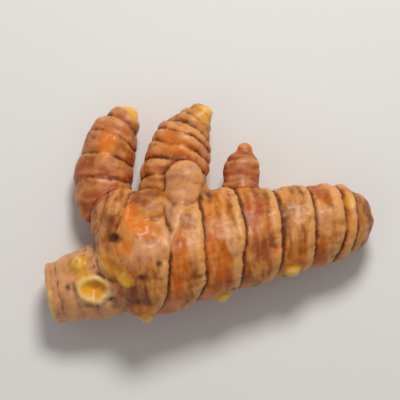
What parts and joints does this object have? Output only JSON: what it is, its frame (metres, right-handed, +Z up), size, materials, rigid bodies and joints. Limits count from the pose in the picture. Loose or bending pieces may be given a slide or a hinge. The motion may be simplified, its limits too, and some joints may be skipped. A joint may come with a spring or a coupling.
{
  "type": "turmeric root",
  "caption": "Fresh turmeric rhizome: a thick ringed body with two large fingers, short buds and a blunt broken lobe, lying on its side.",
  "frame": {"origin": "middle of the bounding box in plan, at the surface the rhizome rests on", "axes": "+X along the body towards its growing end, +Y towards the two large fingers, +Z up from the resting surface"},
  "size_m": [0.0706, 0.0466, 0.0235],
  "materials": {
    "turmeric_skin": "thin brown papery skin with darker rings, faintly moist, orange flesh at scars and buds"
  },
  "bodies": {
    "root": {"turmeric_rhizome": "turmeric_skin"}
  },
  "joints": []
}
